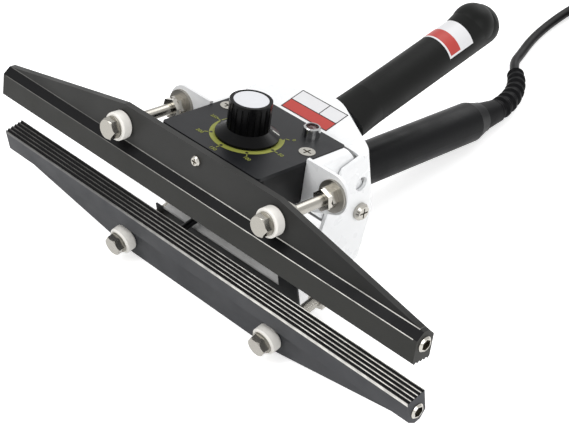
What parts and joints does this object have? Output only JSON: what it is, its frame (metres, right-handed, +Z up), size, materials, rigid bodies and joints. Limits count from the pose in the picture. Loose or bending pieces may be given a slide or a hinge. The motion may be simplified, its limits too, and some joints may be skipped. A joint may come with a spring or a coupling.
{
  "type": "hand-held heat sealing pliers",
  "caption": "Hand-held crimp heat sealer: plier arms with two long heated ridged jaws on ceramic bushes, a dial thermostat box, sprung grips and a coiled mains lead.",
  "frame": {"origin": "middle of the footprint of the open pliers, on the surface that they stand on, without the cord", "axes": "+X along the jaws, +Y from the jaws back to the grips, +Z up"},
  "size_m": [0.3024, 0.4728, 0.1082],
  "materials": {
    "jaw_metal": "dark anodised, semi-matte",
    "frame_white": "gloss powder coat",
    "plated_steel": "bright zinc plating",
    "spring_steel": "oiled wire",
    "heater_steel": "heat-tinted sheath",
    "ceramic": "unglazed white ceramic",
    "panel_black": "satin black",
    "box_black": "fine texture",
    "knob_black": "satin",
    "bright_cap": "spun",
    "lamp_chrome": "polished",
    "lamp_red": "clear red",
    "grip_black": "smooth matte",
    "lead_black": "smooth sheath",
    "plug_black": "moulded",
    "pin_brass": "nickel-plated"
  },
  "bodies": {
    "upper_arm": {"upper_jaw": "jaw_metal", "upper_heater": "heater_steel", "upper_end_plugs": "plated_steel", "upper_jaw_bolts": "plated_steel", "upper_bolt_washers": "plated_steel", "upper_front_bushes": "ceramic", "upper_rear_bushes": "ceramic", "upper_jam_nuts": "plated_steel", "upper_flange_nuts": "plated_steel", "upper_flange_washers": "plated_steel", "upper_frame": "frame_white", "pivot_shaft": "plated_steel", "pivot_screws": "plated_steel", "thrust_washers": "plated_steel", "return_spring": "spring_steel", "lower_handle_tube": "plated_steel", "lower_handle_grip": "grip_black", "lower_handle_screw": "plated_steel", "control_box": "box_black", "control_panel": "panel_black", "panel_screws": "plated_steel", "box_screws": "plated_steel", "thermostat": "box_black", "thermostat_nut": "plated_steel", "indicator_bezel": "lamp_chrome", "indicator_lens": "lamp_red", "indicator_nut": "plated_steel", "terminal_block": "box_black", "sensor_block": "box_black", "sensor_screw": "plated_steel", "lead_grommet": "lead_black", "supply_lead": "lead_black", "upper_heater_lead": "lead_black", "lower_heater_lead": "lead_black", "cord_boot": "lead_black", "power_cord": "lead_black", "cord_coil": "lead_black", "coil_tie": "lead_black", "plug_body": "plug_black", "plug_pins": "pin_brass"},
    "lower_arm": {"lower_jaw": "jaw_metal", "lower_heater": "heater_steel", "lower_end_plugs": "plated_steel", "lower_jaw_bolts": "plated_steel", "lower_bolt_washers": "plated_steel", "lower_front_bushes": "ceramic", "lower_rear_bushes": "ceramic", "lower_jam_nuts": "plated_steel", "lower_flange_nuts": "plated_steel", "lower_flange_washers": "plated_steel", "lower_frame": "frame_white", "upper_handle_tube": "plated_steel", "upper_handle_grip": "grip_black", "upper_handle_screw": "plated_steel"},
    "knob": {"control_knob": "knob_black", "knob_cap": "bright_cap", "thermostat_shaft": "plated_steel"}
  },
  "joints": [
    {"name": "jaw_hinge", "type": "hinge", "parent": "upper_arm", "child": "lower_arm", "pos_m": [0, -0.03427, 0.0438], "axis": [-1, 0, 0], "range_deg": [0, 16.4], "stiffness_Nm_per_rad": 4, "springref_deg": -28.65, "deforming": ["return_spring", "lower_heater_lead"]},
    {"name": "knob_turn", "type": "hinge", "parent": "upper_arm", "child": "knob", "pos_m": [0, -0.07239, 0.08661], "axis": [0, -0.1523, -0.9883], "range_deg": [0, 270]}
  ]
}
